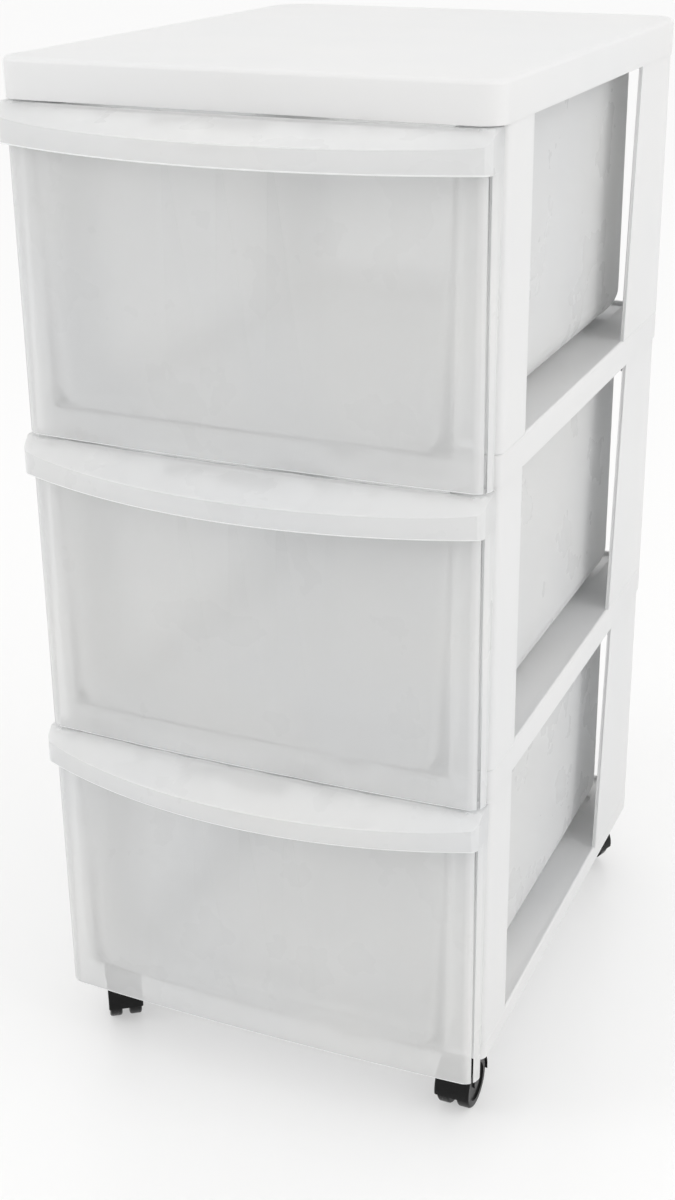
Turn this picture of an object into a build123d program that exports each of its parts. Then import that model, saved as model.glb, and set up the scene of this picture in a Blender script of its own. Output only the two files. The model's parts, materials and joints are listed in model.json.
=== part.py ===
from build123d import *
import os

os.makedirs("parts", exist_ok=True)

# Overall sizes, in millimetres. The floor is z = 0 and y grows towards the back.
cart_width = 300.0
cart_depth = 382.0
tier_count = 3
tier_pitch = 198.0
caster_height = 53.0

# Frames: one moulding per tier, the top one with the lid panel
frame_wall = 2.4
panel_height = 23.0
panel_thickness = 3.0
panel_front_radius = 14.0
panel_rear_radius = 26.0
panel_edge_radius = 3.0
panel_overhang = 0.8
cut_margin = 1.0
least_radius = 0.5
panel_rib_height = 9.0
panel_rib_thickness = 1.6
panel_rib_count = 4
seam_step = 1.0
front_recess = 14.5
post_front_radius = 6.0
post_rear_radius = 25.0
front_post_width = 17.0
front_post_depth = 58.0
rear_post_width = 27.0
rear_post_depth_top = 97.0
rear_post_depth_bottom = 111.0
return_depth = 9.0
ledge_height = 19.0
ledge_edge_radius = 1.6
base_height = 12.0
runner_width = 58.0
front_rail_depth = 42.0
rear_shelf_depth = 60.0
front_rail_drop = 7.0
rear_shelf_drop = 3.0
rear_kerb_width = 4.0
ledge_rib_count = 5
ledge_rib_thickness = 1.6
ledge_rib_height = 5.0
tongue_height = 11.0
tongue_thickness = 2.0
tongue_clearance = 0.2
tongue_root = 6.0

# Drawers: bin, bowed front panel and pull hood in one moulding
drawer_wall = 2.2
drawer_clearance = 0.3
front_side_gap = 2.4
front_top_gap = 1.0
front_gap = 1.5
front_corner_radius = 10.0
front_end_reach = 1.0
front_bow = 4.0
front_return = 14.0
front_return_low = 8.5
front_edge_radius = 0.8
hood_reach = 36.0
hood_end_reach = 6.0
hood_corner_radius = 6.0
hood_drop = 10.0
hood_face_height = 13.0
hood_edge_radius = 1.0
bin_side_gap = 6.0
bin_rear_gap = 16.0
bin_top_gap = 6.0
bin_front_radius = 1.0
bin_corner_radius = 35.0
bin_bottom_radius = 20.0
rim_width = 3.0
rim_thickness = 2.2

# Casters: twin wheels under a fender, swivelling on a steel stem
caster_side_inset = 25.5
caster_front_inset = 30.0
caster_rear_inset = 32.0
caster_turns = {"front_left": 35.0, "front_right": 0.0, "rear_left": -20.0, "rear_right": 70.0}
caster_trail = 9.0
wheel_radius = 17.5
wheel_width = 8.5
wheel_edge_radius = 1.6
wheel_dish_depth = 1.2
wheel_tread = 5.0
wheel_hub_wall = 2.5
fender_gap = 1.0
fender_wall = 1.0
fender_side_reach = 0.95
fender_drop = 2.5
fender_edge_radius = 1.5
web_thickness = 3.6
web_gap = 0.75
neck_radius = 9.0
neck_gap = 0.3
axle_radius = 2.0
axle_end_gap = 1.5
running_clearance = 0.05
stem_radius = 3.5
stem_hood_length = 13.5
stem_end_gap = 0.5
collar_radius = 7.0
collar_thickness = 2.5
sleeve_wall = 2.0
boss_wall = 2.5
boss_cap = 1.6

# Places worked out from the sizes above
half_width = cart_width / 2
base_bottom = caster_height
drawer_space = tier_pitch - ledge_height
top_ledge = base_bottom + base_height + (tier_count - 1) * tier_pitch
panel_bottom = top_ledge + drawer_space
cart_height = panel_bottom + panel_height
front_opening_half = half_width - front_post_width
rear_opening_half = half_width - rear_post_width
rear_post_top = cart_depth - rear_post_depth_top
rear_post_bottom = cart_depth - rear_post_depth_bottom
runner_inner_half = half_width - runner_width
ring_rear = cart_depth - rear_shelf_depth
front_half_width = half_width - front_side_gap
bin_half_width = front_opening_half - bin_side_gap
bin_rear = cart_depth - bin_rear_gap
bin_height = drawer_space - bin_top_gap
sleeve_radius = stem_radius + sleeve_wall
sleeve_length = base_height - boss_cap
wheel_spacing = web_thickness + 2 * web_gap + wheel_width
well_radius = wheel_radius + fender_gap
fender_radius = well_radius + fender_wall
fender_half_width = (wheel_spacing + wheel_width) / 2 + fender_side_reach
fender_bottom = wheel_radius - fender_drop
origin_shift = Pos(0, (hood_reach - cart_depth) / 2, 0)


def ledge_top(tier):
    return base_bottom + base_height + tier * tier_pitch


def tier_inset(tier):
    return panel_overhang + (tier_count - 1 - tier) * seam_step


def block(x_low, x_high, y_low, y_high, z_low, z_high):
    box = Box(x_high - x_low, y_high - y_low, z_high - z_low, align=(Align.MIN, Align.MIN, Align.MIN))
    return Pos(x_low, y_low, z_low) * box


def mirrored(shape):
    return shape + mirror(shape, about=Plane.YZ)


def rounded_plan(half, y_low, y_high, front_radius, rear_radius):
    plan = Pos(0, (y_low + y_high) / 2) * Rectangle(2 * half, y_high - y_low)
    plan = fillet(plan.vertices().group_by(Axis.Y)[0], front_radius)
    return fillet(plan.vertices().group_by(Axis.Y)[-1], rear_radius)


def prism(plan, z_low, z_high):
    return extrude(Pos(0, 0, z_low) * plan, z_high - z_low, dir=(0, 0, 1))


def level_edges(shape, level):
    return shape.edges().filter_by(Plane.XY).group_by(Axis.Z)[level]


def upright(radius, z_low, z_high):
    rod = Cylinder(radius, z_high - z_low, align=(Align.CENTER, Align.CENTER, Align.MIN))
    return Pos(0, 0, z_low) * rod


def frame_plan(tier, inset):
    step = tier_inset(tier) + inset
    return rounded_plan(
        half_width - step,
        front_recess + step,
        cart_depth - step,
        max(post_front_radius - inset, least_radius),
        max(post_rear_radius - inset, least_radius),
    )


def window_edge(z, z_low, z_high):
    share = (z - z_low) / (z_high - z_low)
    return rear_post_bottom + share * (rear_post_top - rear_post_bottom)


def side_prism(points, x_low, x_high):
    face = Plane.YZ * make_face(Polyline(*points, close=True))
    return extrude(Pos(x_low, 0, 0) * face, x_high - x_low, dir=(1, 0, 0))


def side_window(z_low, z_high):
    outline = [
        (front_post_depth, z_low),
        (window_edge(z_low, z_low, z_high), z_low),
        (window_edge(z_high, z_low, z_high), z_high),
        (front_post_depth, z_high),
    ]
    return mirrored(side_prism(outline, rear_opening_half, half_width + cut_margin))


def window_return(z_low, z_high, tier):
    outer = half_width - tier_inset(tier)
    return block(
        outer - return_depth,
        outer - frame_wall / 2,
        front_post_depth - frame_wall,
        front_post_depth,
        z_low,
        z_high,
    )


def post_band(tier, z_low, z_high):
    band = prism(frame_plan(tier, 0), z_low, z_high) - prism(frame_plan(tier, frame_wall), z_low, z_high)
    band -= side_window(z_low, z_high)
    band -= block(-front_opening_half, front_opening_half, 0, 2 * post_rear_radius, z_low, z_high)
    band -= block(
        -rear_opening_half, rear_opening_half, rear_post_top + frame_wall, cart_depth, z_low, z_high
    )
    front_return_wall = block(
        front_opening_half,
        front_opening_half + frame_wall,
        front_recess + tier_inset(tier) + frame_wall / 2,
        front_recess + 2 * return_depth,
        z_low,
        z_high,
    )
    return band + mirrored(window_return(z_low, z_high, tier) + front_return_wall)


def ledge_ring(tier, z_low, z_high):
    ring = prism(frame_plan(tier, 0), z_low, z_high)
    ring = fillet(level_edges(ring, -1), ledge_edge_radius)
    plate_bottom = z_high - frame_wall
    hollow = prism(frame_plan(tier, frame_wall), z_low, plate_bottom)
    hollow -= block(
        -runner_inner_half - frame_wall,
        runner_inner_half + frame_wall,
        front_rail_depth - frame_wall,
        ring_rear + frame_wall,
        z_low,
        plate_bottom,
    )
    hollow -= block(
        -front_opening_half - frame_wall,
        front_opening_half + frame_wall,
        front_recess,
        front_rail_depth,
        plate_bottom - front_rail_drop,
        plate_bottom,
    )
    hollow -= block(
        -rear_opening_half - frame_wall,
        rear_opening_half + frame_wall,
        ring_rear,
        cart_depth,
        plate_bottom - rear_shelf_drop,
        plate_bottom,
    )
    ring -= hollow
    ring -= block(
        -runner_inner_half, runner_inner_half, front_rail_depth, ring_rear, z_low, z_high
    )
    ring -= block(
        -front_opening_half,
        front_opening_half,
        0,
        front_rail_depth,
        z_high - front_rail_drop,
        z_high,
    )
    kerb_front = cart_depth - tier_inset(tier) - rear_kerb_width
    ring -= block(
        -rear_opening_half, rear_opening_half, ring_rear, kerb_front, z_high - rear_shelf_drop, z_high
    )
    rib_run = ring_rear - front_post_depth
    for index in range(ledge_rib_count):
        rib_y = front_post_depth + (index + 0.5) * rib_run / ledge_rib_count
        ring += mirrored(
            block(
                runner_inner_half + frame_wall / 2,
                half_width - tier_inset(tier) - frame_wall / 2,
                rib_y,
                rib_y + ledge_rib_thickness,
                plate_bottom - ledge_rib_height,
                plate_bottom,
            )
        )
    return ring


def tongue(tier, z_seam):
    upper_inset = tier_inset(tier + 1) - tier_inset(tier) + frame_wall + tongue_clearance
    band = prism(frame_plan(tier, upper_inset), z_seam - tongue_root, z_seam + tongue_height)
    band -= prism(
        frame_plan(tier, upper_inset + tongue_thickness), z_seam - tongue_root, z_seam + tongue_height
    )
    root = prism(frame_plan(tier, frame_wall / 2), z_seam - tongue_root, z_seam)
    root -= prism(frame_plan(tier, upper_inset + tongue_thickness / 2), z_seam - tongue_root, z_seam)
    band += root
    band -= mirrored(
        block(rear_opening_half, half_width, front_post_depth, rear_post_top, z_seam - tongue_root, z_seam)
    )
    gap_half = front_opening_half + frame_wall + tongue_clearance
    gap_low = z_seam - tongue_root
    band -= block(-gap_half, gap_half, 0, 2 * post_rear_radius, gap_low, z_seam + tongue_height)
    band -= block(
        -rear_opening_half, rear_opening_half, rear_post_top, cart_depth, z_seam - tongue_root, z_seam
    )
    return band


def lid_panel():
    plan = rounded_plan(half_width, 0, cart_depth, panel_front_radius, panel_rear_radius)
    panel = prism(plan, panel_bottom, cart_height)
    panel = fillet(level_edges(panel, -1), panel_edge_radius)
    inner = rounded_plan(
        half_width - frame_wall,
        frame_wall,
        cart_depth - frame_wall,
        panel_front_radius - frame_wall,
        panel_rear_radius - frame_wall,
    )
    plate_bottom = cart_height - panel_thickness
    panel -= prism(inner, panel_bottom, plate_bottom)
    rib_low = plate_bottom - panel_rib_height
    for index in range(panel_rib_count):
        rib_y = (index + 1) * cart_depth / (panel_rib_count + 1)
        panel += block(
            -half_width + frame_wall / 2,
            half_width - frame_wall / 2,
            rib_y - panel_rib_thickness / 2,
            rib_y + panel_rib_thickness / 2,
            rib_low,
            plate_bottom,
        )
    panel += block(
        -panel_rib_thickness / 2,
        panel_rib_thickness / 2,
        frame_wall / 2,
        cart_depth - frame_wall / 2,
        rib_low,
        plate_bottom,
    )
    return panel


def caster_places():
    caster_x = half_width - caster_side_inset
    caster_rear = cart_depth - caster_rear_inset
    return {
        "front_left": (-caster_x, caster_front_inset),
        "front_right": (caster_x, caster_front_inset),
        "rear_left": (-caster_x, caster_rear),
        "rear_right": (caster_x, caster_rear),
    }


def frame_module(tier):
    z_high = ledge_top(tier)
    z_low = z_high - (base_height if tier == 0 else ledge_height)
    z_seam = z_high + drawer_space
    module = ledge_ring(tier, z_low, z_high)
    if tier == tier_count - 1:
        module += post_band(tier, z_high, panel_bottom)
        hanger = prism(frame_plan(tier, 0), panel_bottom, cart_height - panel_thickness)
        hanger -= prism(frame_plan(tier, frame_wall), panel_bottom, cart_height - panel_thickness)
        hanger -= block(
            -front_opening_half,
            front_opening_half,
            0,
            2 * post_rear_radius,
            panel_bottom,
            cart_height - panel_thickness,
        )
        module += hanger + lid_panel()
    else:
        module += post_band(tier, z_high, z_seam) + tongue(tier, z_seam)
    if tier == 0:
        boss_radius = sleeve_radius + boss_wall
        boss_top = base_bottom + sleeve_length + boss_cap
        for place_x, place_y in caster_places().values():
            module += Pos(place_x, place_y) * upright(boss_radius, base_bottom, boss_top)
        for place_x, place_y in caster_places().values():
            socket = upright(sleeve_radius, base_bottom, base_bottom + sleeve_length)
            module -= Pos(place_x, place_y) * socket
    return module


def bow_plan(end_reach, bow, half, y_back):
    arc = ThreePointArc((-half, -end_reach), (0, -end_reach - bow), (half, -end_reach))
    sides = Polyline((half, -end_reach), (half, y_back), (-half, y_back), (-half, -end_reach))
    return make_face(arc + sides)


def hood_cutter(z_top):
    spread = half_width + cut_margin
    ridge = Line((-spread, 0, z_top), (spread, 0, z_top))
    z_rim = z_top - hood_drop * (1 + cut_margin / hood_reach)
    rim = ThreePointArc(
        (-spread, -hood_end_reach - cut_margin, z_rim),
        (0, -hood_reach - cut_margin, z_rim),
        (spread, -hood_end_reach - cut_margin, z_rim),
    )
    slope = Face.make_surface_from_curves(ridge.edge(), rim.edge())
    return extrude(slope, 2 * hood_reach, dir=(0, 0, 1))


def drawer(tier):
    z_floor = ledge_top(tier) + drawer_clearance
    z_top = ledge_top(tier) + drawer_space - front_top_gap
    z_low = z_top + front_gap - tier_pitch
    hood_low = z_top - hood_drop - hood_face_height

    front_plan = bow_plan(front_end_reach, front_bow, front_half_width, front_return)
    front_plan = fillet(front_plan.vertices().group_by(Axis.Y)[0], front_corner_radius)
    shell = prism(front_plan, z_low, z_top)
    shell = fillet(level_edges(shell, 0).sort_by(Axis.Y)[:-1], front_edge_radius)
    slant = [
        (front_return_low, z_low),
        (front_return, z_top),
        (2 * front_return, z_top),
        (2 * front_return, z_low),
    ]
    shell -= side_prism(slant, -half_width, half_width)

    hood_bow = hood_reach - hood_end_reach
    hood_plan = bow_plan(hood_end_reach, hood_bow, front_half_width, front_return)
    hood_plan = fillet(hood_plan.vertices().group_by(Axis.Y)[0], hood_corner_radius)
    cutter = hood_cutter(z_top)
    hood = prism(hood_plan, hood_low, z_top) - cutter
    hood_ends = -(hood_reach + hood_end_reach) / 2
    face_edges = hood.edges().filter_by(lambda edge: edge.center().Y < hood_ends)
    hood = fillet(face_edges, hood_edge_radius)

    bin_plan = rounded_plan(bin_half_width, 0, bin_rear, bin_front_radius, bin_corner_radius)
    bin_body = prism(bin_plan, z_floor, z_floor + bin_height)
    bin_body = fillet(level_edges(bin_body, 0).sort_by(Axis.Y)[1:], bin_bottom_radius)
    rim_half = bin_half_width + rim_width
    rim_plan = rounded_plan(
        rim_half, 0, bin_rear + rim_width, bin_front_radius, bin_corner_radius + rim_width
    )
    rim = prism(rim_plan, z_floor + bin_height - rim_thickness, z_floor + bin_height)

    finger_plan = bow_plan(
        hood_end_reach - drawer_wall, hood_bow, front_half_width - drawer_wall, 0
    )
    front_skin = bow_plan(front_end_reach, front_bow, front_half_width, front_return)
    finger_low = hood_low - cut_margin
    finger_space = prism(finger_plan, finger_low, z_top) - prism(front_skin, finger_low, z_top)
    finger_space -= Pos(0, 0, -drawer_wall) * cutter

    inner_skin = bow_plan(front_end_reach - drawer_wall, front_bow, front_half_width - drawer_wall, bin_rear)
    cavity_plan = rounded_plan(
        bin_half_width - drawer_wall,
        -hood_reach,
        bin_rear - drawer_wall,
        bin_front_radius,
        bin_corner_radius - drawer_wall,
    )
    cavity = prism(cavity_plan, z_floor + drawer_wall, z_top + cut_margin)
    cavity = fillet(level_edges(cavity, 0).sort_by(Axis.Y)[1:], bin_bottom_radius - drawer_wall)
    cavity &= prism(inner_skin, z_low, z_top + cut_margin)

    open_low = z_low - cut_margin
    open_rear = front_return + cut_margin
    pocket = prism(inner_skin, open_low, z_top - drawer_wall)
    pocket &= block(bin_half_width, front_half_width, -hood_reach, open_rear, open_low, z_top)
    under = prism(inner_skin, open_low, z_floor)
    under &= block(-bin_half_width, bin_half_width, -hood_reach, open_rear, open_low, z_floor)

    body = shell + hood + bin_body + rim
    body -= finger_space
    body -= cavity
    body -= mirrored(pocket)
    body -= under
    return body


def crosswise(radius, x_low, x_high):
    rod = Rot(0, 90, 0) * Cylinder(radius, x_high - x_low, align=(Align.CENTER, Align.CENTER, Align.MIN))
    return Pos(x_low, caster_trail, wheel_radius) * rod


def caster_hood():
    top = base_bottom - collar_thickness - neck_gap
    fender = crosswise(fender_radius, -fender_half_width, fender_half_width)
    fender = fillet(fender.edges(), fender_edge_radius)
    fender_reach = fender_radius + caster_trail
    fender &= block(
        -fender_half_width, fender_half_width, -fender_reach, fender_reach, fender_bottom, caster_height
    )
    hood = fender + upright(neck_radius, wheel_radius, top)
    well = crosswise(well_radius, web_thickness / 2, fender_half_width)
    hood -= mirrored(well)
    bore_low = base_bottom - collar_thickness - stem_hood_length
    hood -= upright(stem_radius + running_clearance, bore_low, top)
    hood -= crosswise(axle_radius, -fender_half_width, fender_half_width)
    return hood


def caster_axle():
    reach = wheel_spacing / 2 + wheel_width / 2 - axle_end_gap - running_clearance
    return crosswise(axle_radius, -reach, reach)


def caster_wheel():
    inner = wheel_spacing / 2 - wheel_width / 2
    outer = inner + wheel_width
    wheel = crosswise(wheel_radius, inner, outer)
    wheel = fillet(wheel.edges(), wheel_edge_radius)
    dish = crosswise(wheel_radius - wheel_tread, outer - wheel_dish_depth, outer)
    wheel -= dish - crosswise(axle_radius + wheel_hub_wall, outer - wheel_dish_depth, outer)
    wheel -= crosswise(axle_radius + running_clearance, inner, outer - axle_end_gap)
    return wheel


def caster_stem():
    low = base_bottom - collar_thickness - stem_hood_length + running_clearance
    shank = upright(stem_radius, low, base_bottom + sleeve_length - stem_end_gap)
    return shank + upright(collar_radius, base_bottom - collar_thickness, base_bottom)


def caster_sleeve():
    tube = upright(sleeve_radius, base_bottom, base_bottom + sleeve_length)
    return tube - upright(stem_radius, base_bottom, base_bottom + sleeve_length)


def save(shape, node):
    placed = origin_shift * shape
    solids = placed.solids()
    export_step(solids[0] if len(solids) == 1 else Compound(solids), "parts/" + node + ".step")


tier_names = ["bottom", "middle", "top"]
for tier, tier_name in enumerate(tier_names):
    save(frame_module(tier), tier_name + "_frame")
    save(drawer(tier), tier_name + "_drawer")

for place_name, (place_x, place_y) in caster_places().items():
    place = Pos(place_x, place_y, 0) * Rot(0, 0, caster_turns[place_name])
    save(place * caster_hood(), place_name + "_caster_hood")
    save(place * caster_axle(), place_name + "_caster_axle")
    save(place * caster_wheel(), place_name + "_wheel_right")
    save(place * mirror(caster_wheel(), about=Plane.YZ), place_name + "_wheel_left")
    save(place * caster_stem(), place_name + "_caster_stem")
    save(place * caster_sleeve(), place_name + "_caster_sleeve")
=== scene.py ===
import json
import math

import bpy
from mathutils import Matrix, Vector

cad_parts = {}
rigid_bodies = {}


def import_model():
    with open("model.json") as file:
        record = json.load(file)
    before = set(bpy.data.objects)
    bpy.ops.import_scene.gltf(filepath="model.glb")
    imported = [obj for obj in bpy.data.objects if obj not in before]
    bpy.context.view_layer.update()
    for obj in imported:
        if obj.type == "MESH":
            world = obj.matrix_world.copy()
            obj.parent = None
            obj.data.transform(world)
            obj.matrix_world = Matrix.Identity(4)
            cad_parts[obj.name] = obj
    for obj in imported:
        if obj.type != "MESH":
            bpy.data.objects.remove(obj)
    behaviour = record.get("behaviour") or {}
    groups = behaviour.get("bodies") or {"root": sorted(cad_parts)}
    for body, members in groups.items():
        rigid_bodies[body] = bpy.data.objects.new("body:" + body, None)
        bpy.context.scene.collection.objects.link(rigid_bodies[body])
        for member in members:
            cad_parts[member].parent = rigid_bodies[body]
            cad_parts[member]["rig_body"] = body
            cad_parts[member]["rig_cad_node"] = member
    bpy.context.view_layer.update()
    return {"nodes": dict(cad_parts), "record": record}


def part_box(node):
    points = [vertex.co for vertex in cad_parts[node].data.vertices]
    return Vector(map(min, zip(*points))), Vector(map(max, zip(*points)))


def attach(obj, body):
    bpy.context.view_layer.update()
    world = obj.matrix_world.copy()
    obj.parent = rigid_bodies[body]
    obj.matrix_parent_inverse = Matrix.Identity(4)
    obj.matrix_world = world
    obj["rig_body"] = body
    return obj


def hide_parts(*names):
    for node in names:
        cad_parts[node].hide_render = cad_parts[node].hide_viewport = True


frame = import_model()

tierNames = ["bottom", "middle", "top"]
casterNames = ["front_left", "front_right", "rear_left", "rear_right"]
print("frame loaded:", len(frame["nodes"]), "nodes")


# Small tools that the pieces below share

def selectOnly(piece):
    if bpy.context.mode != "OBJECT":
        bpy.ops.object.mode_set(mode="OBJECT")
    bpy.ops.object.select_all(action="DESELECT")
    piece.select_set(True)
    bpy.context.view_layer.objects.active = piece


def copyOfNode(nodeName, pieceName):
    selectOnly(frame["nodes"][nodeName])
    bpy.ops.object.duplicate()
    piece = bpy.context.view_layer.objects.active
    bpy.ops.object.parent_clear(type="CLEAR_KEEP_TRANSFORM")
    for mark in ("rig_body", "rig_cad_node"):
        del piece[mark]
    piece.name = pieceName
    piece.data.name = pieceName
    return piece


def weldAndSoften(piece, values):
    # the loose triangles become one skin, and small hard pieces get a radius on their edges
    selectOnly(piece)
    bpy.ops.object.mode_set(mode="EDIT")
    bpy.ops.mesh.select_all(action="SELECT")
    bpy.ops.mesh.remove_doubles(threshold=values["weld"])
    if values["edge"] > 0:
        bpy.ops.mesh.dissolve_limited(angle_limit=math.radians(values["flatAngle"]))
    bpy.ops.object.mode_set(mode="OBJECT")
    if values["edge"] > 0:
        bevel = piece.modifiers.new("moulded edges", "BEVEL")
        bevel.width = values["edge"]
        bevel.segments = values["edgeSteps"]
        bevel.limit_method = "ANGLE"
        bevel.angle_limit = math.radians(values["edgeAngle"])
        bpy.ops.object.modifier_apply(modifier=bevel.name)
    bpy.ops.object.shade_smooth_by_angle(angle=math.radians(values["smoothAngle"]))
    even = piece.modifiers.new("even shading", "WEIGHTED_NORMAL")
    even.keep_sharp = True
    bpy.ops.object.modifier_apply(modifier=even.name)


def paint(piece, material):
    piece.data.materials.clear()
    piece.data.materials.append(material)


def bodyOf(nodeName):
    for body, nodeNames in frame["record"]["behaviour"]["bodies"].items():
        if nodeName in nodeNames:
            return body
    return None


def standIn(nodeName, material, values):
    piece = copyOfNode(nodeName, nodeName + "_skin")
    weldAndSoften(piece, values)
    paint(piece, material)
    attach(piece, bodyOf(nodeName))
    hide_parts(nodeName)
    return piece


# Materials

def newMaterial(name):
    material = bpy.data.materials.new(name)
    material.use_nodes = True
    tree = material.node_tree
    shader = tree.nodes["Principled BSDF"]
    place = tree.nodes.new("ShaderNodeTexCoord")
    return material, tree, shader, place


def noiseOf(tree, place, scale, detail=2.0, roughness=0.5):
    noise = tree.nodes.new("ShaderNodeTexNoise")
    noise.inputs["Scale"].default_value = scale
    noise.inputs["Detail"].default_value = detail
    noise.inputs["Roughness"].default_value = roughness
    tree.links.new(place.outputs["Object"], noise.inputs["Vector"])
    return noise


def rampOf(tree, source, low, high, lowColour, highColour):
    ramp = tree.nodes.new("ShaderNodeValToRGB")
    ramp.color_ramp.elements[0].position = low
    ramp.color_ramp.elements[1].position = high
    ramp.color_ramp.elements[0].color = (*lowColour, 1)
    ramp.color_ramp.elements[1].color = (*highColour, 1)
    tree.links.new(source, ramp.inputs["Fac"])
    return ramp.outputs["Color"]


def rangeOf(tree, source, fromLow, fromHigh, toLow, toHigh):
    span = tree.nodes.new("ShaderNodeMapRange")
    span.inputs["From Min"].default_value = fromLow
    span.inputs["From Max"].default_value = fromHigh
    span.inputs["To Min"].default_value = toLow
    span.inputs["To Max"].default_value = toHigh
    tree.links.new(source, span.inputs["Value"])
    return span.outputs["Result"]


def bumpOf(tree, source, strength, distance, under=None):
    bump = tree.nodes.new("ShaderNodeBump")
    bump.inputs["Strength"].default_value = strength
    bump.inputs["Distance"].default_value = distance
    tree.links.new(source, bump.inputs["Height"])
    if under is not None:
        tree.links.new(under, bump.inputs["Normal"])
    return bump.outputs["Normal"]


# how much of a noise's middle spreads over a colour and over a gloss
cloudStops = (0.35, 0.65)
glossStops = (0.3, 0.7)
dustStops = (0.45, 0.75)
spotStops = (0.4, 0.6)

framePlasticLook = {
    "pale": (0.905, 0.905, 0.905),
    "cool": (0.885, 0.89, 0.895),
    "cloudScale": 5.0,
    "glossLow": 0.36,
    "glossHigh": 0.47,
    "glossScale": 28.0,
    "skinScale": 900.0,
    "skinStrength": 0.35,
    "skinDepth": 0.00004,
    "waveScale": 14.0,
    "waveStrength": 0.25,
    "waveDepth": 0.0006,
    "specular": 0.45,
    "throughShare": 0.2,
}
# a whiter plastic, used as a painted highlight on the drawers' pull bead and foot
highlightRimLook = dict(framePlasticLook)
highlightRimLook["pale"] = (0.95, 0.955, 0.96)
highlightRimLook["cool"] = (0.93, 0.94, 0.95)


def milkyMix(tree, shader, colour, share):
    # thin moulded plastic lets a share of the light through to its other side
    through = tree.nodes.new("ShaderNodeBsdfTranslucent")
    tree.links.new(colour, through.inputs["Color"])
    milky = tree.nodes.new("ShaderNodeMixShader")
    milky.inputs["Fac"].default_value = share
    tree.links.new(shader.outputs["BSDF"], milky.inputs[1])
    tree.links.new(through.outputs["BSDF"], milky.inputs[2])
    return milky.outputs["Shader"]


def mouldedFinish(tree, shader, place, look):
    # faint clouding, rubbed gloss, and a broad wave under the fine skin of a moulded wall
    cloud = noiseOf(tree, place, look["cloudScale"], detail=3.0)
    colour = rampOf(tree, cloud.outputs["Fac"], *cloudStops, look["cool"], look["pale"])
    tree.links.new(colour, shader.inputs["Base Color"])
    rub = noiseOf(tree, place, look["glossScale"], detail=4.0)
    gloss = rangeOf(tree, rub.outputs["Fac"], *glossStops, look["glossLow"], look["glossHigh"])
    tree.links.new(gloss, shader.inputs["Roughness"])
    wave = noiseOf(tree, place, look["waveScale"])
    skin = noiseOf(tree, place, look["skinScale"], detail=1.0)
    broad = bumpOf(tree, wave.outputs["Fac"], look["waveStrength"], look["waveDepth"])
    fine = bumpOf(tree, skin.outputs["Fac"], look["skinStrength"], look["skinDepth"], under=broad)
    tree.links.new(fine, shader.inputs["Normal"])
    return colour


def makeWhitePlastic(name, look):
    material, tree, shader, place = newMaterial(name)
    colour = mouldedFinish(tree, shader, place, look)
    shader.inputs["Specular IOR Level"].default_value = look["specular"]
    glowing = milkyMix(tree, shader, colour, look["throughShare"])
    tree.links.new(glowing, tree.nodes["Material Output"].inputs["Surface"])
    return material


drawerPlasticLook = {
    "pale": (0.955, 0.955, 0.95),
    "cool": (0.935, 0.94, 0.945),
    "cloudScale": 6.0,
    # clearFlat to roundTo set painted light by surface direction: roundings, side walls and floors
    # are made milkier and whiter than the front walls
    "clearFlat": 0.42,
    "clearRound": 0.08,
    "flatShares": (0.7, 1.0, 0.78),
    "roundFrom": 1.0,
    "roundTo": 0.6,
    "clearTint": (0.985, 0.988, 0.99),
    "throughShare": 0.5,
    "glossLow": 0.24,
    "glossHigh": 0.36,
    "glossScale": 22.0,
    "skinScale": 700.0,
    "skinStrength": 0.3,
    "skinDepth": 0.00005,
    "waveScale": 11.0,
    "waveStrength": 0.2,
    "waveDepth": 0.0003,
}


def paintedLightByFacing(tree, place, look):
    # painted light: 0 on the flat front walls, 1 on the roundings, and between them on side walls and
    # floors, by their shares; the more of it, the milkier and whiter the wall, as a painted highlight
    # on the roundings and painted light on side walls and floors
    square = tree.nodes.new("ShaderNodeVectorMath")
    square.operation = "MULTIPLY"
    tree.links.new(place.outputs["Normal"], square.inputs[0])
    tree.links.new(place.outputs["Normal"], square.inputs[1])
    shared = tree.nodes.new("ShaderNodeVectorMath")
    shared.operation = "MULTIPLY"
    shared.inputs[1].default_value = look["flatShares"]
    tree.links.new(square.outputs["Vector"], shared.inputs[0])
    flatness = tree.nodes.new("ShaderNodeVectorMath")
    flatness.operation = "DOT_PRODUCT"
    tree.links.new(square.outputs["Vector"], flatness.inputs[0])
    tree.links.new(shared.outputs["Vector"], flatness.inputs[1])
    return rangeOf(tree, flatness.outputs["Value"], look["roundFrom"], look["roundTo"], 0.0, 1.0)


def makeDrawerPlastic(look):
    material, tree, shader, place = newMaterial("frostedDrawerPlastic")
    colour = mouldedFinish(tree, shader, place, look)
    milky = milkyMix(tree, shader, colour, look["throughShare"])
    clear = tree.nodes.new("ShaderNodeBsdfTransparent")
    clear.inputs["Color"].default_value = (*look["clearTint"], 1)
    # painted highlight and painted light: the wall's clear share falls with surface direction,
    # whitening roundings, side walls and floors
    paintedWhiteness = paintedLightByFacing(tree, place, look)
    clearness = rangeOf(tree, paintedWhiteness, 0.0, 1.0, look["clearFlat"], look["clearRound"])
    wall = tree.nodes.new("ShaderNodeMixShader")
    tree.links.new(clearness, wall.inputs["Fac"])
    tree.links.new(milky, wall.inputs[1])
    tree.links.new(clear.outputs["BSDF"], wall.inputs[2])
    tree.links.new(wall.outputs["Shader"], tree.nodes["Material Output"].inputs["Surface"])
    return material


blackPlasticLook = {
    "black": (0.0012, 0.0012, 0.0013),
    "dusty": (0.004, 0.004, 0.0043),
    "specular": 0.22,
    "dustScale": 60.0,
    "glossLow": 0.32,
    "glossHigh": 0.5,
    "wheelShift": -0.08,
    "skinStrength": 0.4,
    "skinScale": 1400.0,
    "skinDepth": 0.00004,
}


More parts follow.
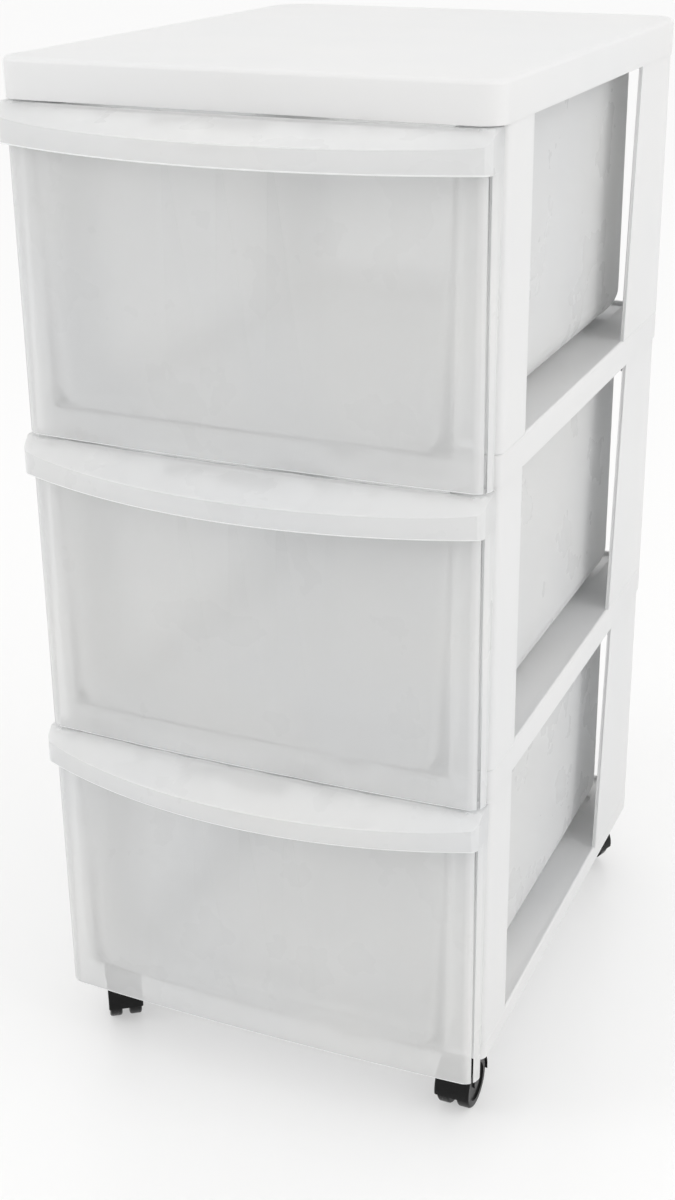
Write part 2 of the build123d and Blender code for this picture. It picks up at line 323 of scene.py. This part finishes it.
def makeBlackPlastic(name, look, glossShift):
    material, tree, shader, place = newMaterial(name)
    dust = noiseOf(tree, place, look["dustScale"], detail=5.0, roughness=0.65)
    colour = rampOf(tree, dust.outputs["Fac"], *dustStops, look["black"], look["dusty"])
    tree.links.new(colour, shader.inputs["Base Color"])
    lowGloss = look["glossLow"] + glossShift
    highGloss = look["glossHigh"] + glossShift
    gloss = rangeOf(tree, dust.outputs["Fac"], *glossStops, lowGloss, highGloss)
    tree.links.new(gloss, shader.inputs["Roughness"])
    skin = noiseOf(tree, place, look["skinScale"], detail=1.0)
    fine = bumpOf(tree, skin.outputs["Fac"], look["skinStrength"], look["skinDepth"])
    tree.links.new(fine, shader.inputs["Normal"])
    shader.inputs["Specular IOR Level"].default_value = look["specular"]
    return material


steelLook = {
    "bright": (0.62, 0.63, 0.65),
    "dull": (0.42, 0.43, 0.44),
    "spotScale": 220.0,
    "glossLow": 0.22,
    "glossHigh": 0.42,
    "lineScale": 2600.0,
    "lineStrength": 0.3,
    "lineDepth": 0.00002,
}


def makeSteel(look):
    material, tree, shader, place = newMaterial("zincSteel")
    spots = noiseOf(tree, place, look["spotScale"], detail=4.0)
    colour = rampOf(tree, spots.outputs["Fac"], *spotStops, look["dull"], look["bright"])
    tree.links.new(colour, shader.inputs["Base Color"])
    gloss = rangeOf(tree, spots.outputs["Fac"], *glossStops, look["glossHigh"], look["glossLow"])
    tree.links.new(gloss, shader.inputs["Roughness"])
    lines = noiseOf(tree, place, look["lineScale"], detail=1.0)
    fine = bumpOf(tree, lines.outputs["Fac"], look["lineStrength"], look["lineDepth"])
    tree.links.new(fine, shader.inputs["Normal"])
    shader.inputs["Metallic"].default_value = 1.0
    return material


nylonLook = {
    "pale": (0.74, 0.73, 0.69),
    "warm": (0.69, 0.67, 0.62),
    "cloudScale": 90.0,
    "gloss": 0.48,
    "skinScale": 1800.0,
    "skinStrength": 0.3,
    "skinDepth": 0.00003,
}


def makeNylon(look):
    material, tree, shader, place = newMaterial("naturalNylon")
    cloud = noiseOf(tree, place, look["cloudScale"], detail=3.0)
    colour = rampOf(tree, cloud.outputs["Fac"], *cloudStops, look["warm"], look["pale"])
    tree.links.new(colour, shader.inputs["Base Color"])
    skin = noiseOf(tree, place, look["skinScale"], detail=1.0)
    fine = bumpOf(tree, skin.outputs["Fac"], look["skinStrength"], look["skinDepth"])
    tree.links.new(fine, shader.inputs["Normal"])
    shader.inputs["Roughness"].default_value = look["gloss"]
    return material


framePlastic = makeWhitePlastic("whiteFramePlastic", framePlasticLook)
drawerPlastic = makeDrawerPlastic(drawerPlasticLook)
# painted highlight material for the drawers' pull bead and foot
highlightRimPlastic = makeWhitePlastic("paintedHighlightRim", highlightRimLook)
casterPlastic = makeBlackPlastic("blackCasterPlastic", blackPlasticLook, 0.0)
wheelPlastic = makeBlackPlastic("blackWheelPlastic", blackPlasticLook, blackPlasticLook["wheelShift"])
zincSteel = makeSteel(steelLook)
naturalNylon = makeNylon(nylonLook)
print("materials ready")


# Frames: the moulded skins of the three stacked frames

frameSkin = {"weld": 0.00002, "edge": 0, "smoothAngle": 32.0}
for tierName in tierNames:
    standIn(tierName + "_frame", framePlastic, frameSkin)
print("frames done")


# Drawers: bin, bowed front and pull hood

drawerSkin = {"weld": 0.00002, "edge": 0, "smoothAngle": 32.0}
# bands of the drawer where the painted highlight goes
rimHighlightBands = {
    "hoodHeight": 0.023,
    "lipBand": 0.0013,
    "soleBand": 0.0011,
    "frontLimit": -0.1785,
}


def paintRimHighlights(piece, nodeName, rims):
    # painted highlight: the bead along the pull and the foot of the front get a whiter plastic
    # without the clear share, standing in for the light these edges catch
    low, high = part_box(nodeName)
    lipLow = high.z - rims["hoodHeight"]
    piece.data.materials.append(highlightRimPlastic)
    for face in piece.data.polygons:
        inFront = face.center.y < rims["frontLimit"]
        onLip = abs(face.center.z - lipLow) < rims["lipBand"]
        onSole = face.center.z < low.z + rims["soleBand"]
        if (inFront and onLip) or onSole:
            face.material_index = 1


for tierName in tierNames:
    drawerNode = tierName + "_drawer"
    drawerPiece = standIn(drawerNode, drawerPlastic, drawerSkin)
    paintRimHighlights(drawerPiece, drawerNode, rimHighlightBands)
print("drawers done")


# Casters: hoods, wheels, axles, stems and sleeves

casterSkin = {
    "weld": 0.00001,
    "flatAngle": 0.4,
    "edge": 0.0003,
    "edgeSteps": 2,
    "edgeAngle": 50.0,
    "smoothAngle": 40.0,
}
for casterName in casterNames:
    standIn(casterName + "_caster_hood", casterPlastic, casterSkin)
    for side in ("left", "right"):
        standIn(casterName + "_wheel_" + side, wheelPlastic, casterSkin)
    standIn(casterName + "_caster_axle", zincSteel, casterSkin)
    standIn(casterName + "_caster_stem", zincSteel, casterSkin)
    standIn(casterName + "_caster_sleeve", naturalNylon, casterSkin)
print("casters done")


# Floor, light and camera

floorLook = {
    "size": 30.0,
    "colour": (0.90, 0.90, 0.90),
    "tintScale": 1.5,
    "gloss": 0.22,
    "lift": 0.42,
    "white": 1.0,
}


def makeFloorMaterial(look):
    material, tree, shader, place = newMaterial("paleFloor")
    tint = noiseOf(tree, place, look["tintScale"])
    colour = rampOf(tree, tint.outputs["Fac"], *glossStops, look["colour"], look["colour"])
    tree.links.new(colour, shader.inputs["Base Color"])
    shader.inputs["Roughness"].default_value = look["gloss"]
    glow = tree.nodes.new("ShaderNodeEmission")
    glow.inputs["Strength"].default_value = look["white"]
    blend = tree.nodes.new("ShaderNodeMixShader")
    tree.links.new(seenDirectly(tree, look["lift"]), blend.inputs["Fac"])
    tree.links.new(shader.outputs["BSDF"], blend.inputs[1])
    tree.links.new(glow.outputs["Emission"], blend.inputs[2])
    tree.links.new(blend.outputs["Shader"], tree.nodes["Material Output"].inputs["Surface"])
    return material


def seenDirectly(tree, share):
    # 1 for rays from the camera and through gloss or glass, times a share
    ray = tree.nodes.new("ShaderNodeLightPath")
    glossy = tree.nodes.new("ShaderNodeMath")
    glossy.operation = "MAXIMUM"
    tree.links.new(ray.outputs["Is Camera Ray"], glossy.inputs[0])
    tree.links.new(ray.outputs["Is Glossy Ray"], glossy.inputs[1])
    through = tree.nodes.new("ShaderNodeMath")
    through.operation = "MAXIMUM"
    tree.links.new(glossy.outputs["Value"], through.inputs[0])
    tree.links.new(ray.outputs["Is Transmission Ray"], through.inputs[1])
    part = tree.nodes.new("ShaderNodeMath")
    part.operation = "MULTIPLY"
    part.inputs[1].default_value = share
    tree.links.new(through.outputs["Value"], part.inputs[0])
    return part.outputs["Value"]


bpy.ops.object.select_all(action="DESELECT")
bpy.ops.mesh.primitive_plane_add(size=floorLook["size"], location=(0, 0, 0))
floor = bpy.context.object
floor.name = "floor"
paint(floor, makeFloorMaterial(floorLook))

worldLook = {"soft": (1.0, 0.995, 0.985), "strength": 0.96, "white": 1.0}
world = bpy.data.worlds.new("studio")
bpy.context.scene.world = world
world.use_nodes = True
worldTree = world.node_tree
softSky = worldTree.nodes["Background"]
softSky.inputs["Color"].default_value = (*worldLook["soft"], 1)
softSky.inputs["Strength"].default_value = worldLook["strength"]
whiteSky = worldTree.nodes.new("ShaderNodeBackground")
whiteSky.inputs["Color"].default_value = (1, 1, 1, 1)
whiteSky.inputs["Strength"].default_value = worldLook["white"]
skyMix = worldTree.nodes.new("ShaderNodeMixShader")
worldTree.links.new(seenDirectly(worldTree, 1.0), skyMix.inputs["Fac"])
worldTree.links.new(softSky.outputs["Background"], skyMix.inputs[1])
worldTree.links.new(whiteSky.outputs["Background"], skyMix.inputs[2])
worldTree.links.new(skyMix.outputs["Shader"], worldTree.nodes["World Output"].inputs["Surface"])

softboxes = {
    "keySoftbox": {"place": (-2.2, -1.9, 1.7), "size": 1.1, "power": 16.0},
    "topSoftbox": {"place": (-0.9, 1.2, 2.5), "size": 2.0, "power": 0.5},
    "sideSoftbox": {"place": (2.3, -0.3, 1.9), "size": 1.6, "power": 16.5},
}
aimPoint = (0.0, 0.0, 0.33)


def turnTowards(place, target):
    away = Matrix.Translation(place).translation - Matrix.Translation(target).translation
    return away.to_track_quat("Z", "Y").to_euler()


for lampName, values in softboxes.items():
    bpy.ops.object.light_add(type="AREA", location=values["place"])
    lamp = bpy.context.object
    lamp.name = lampName
    lamp.data.shape = "SQUARE"
    lamp.data.size = values["size"]
    lamp.data.energy = values["power"]
    lamp.rotation_euler = turnTowards(values["place"], aimPoint)

cameraView = {
    "place": (0.43334, -1.01368, 0.77130),
    "azimuth": 22.61,
    "elevation": 21.73,
    "roll": -0.15,
    "lens": 52.05,
    "sensor": 36.0,
    "shift": (-0.0347, -0.0517),
}
bpy.ops.object.camera_add(location=cameraView["place"])
camera = bpy.context.object
camera.name = "photoCamera"
turn = Matrix.Rotation(math.radians(cameraView["azimuth"]), 4, "Z")
tilt = Matrix.Rotation(math.radians(90 - cameraView["elevation"]), 4, "X")
roll = Matrix.Rotation(math.radians(cameraView["roll"]), 4, "Z")
camera.rotation_euler = (turn @ tilt @ roll).to_euler()
camera.data.sensor_fit = "VERTICAL"
camera.data.sensor_height = cameraView["sensor"]
camera.data.lens = cameraView["lens"]
camera.data.shift_x = cameraView["shift"][0]
camera.data.shift_y = cameraView["shift"][1]
bpy.context.scene.camera = camera
bpy.context.scene.view_settings.view_transform = "Standard"
print("floor, light and camera done")
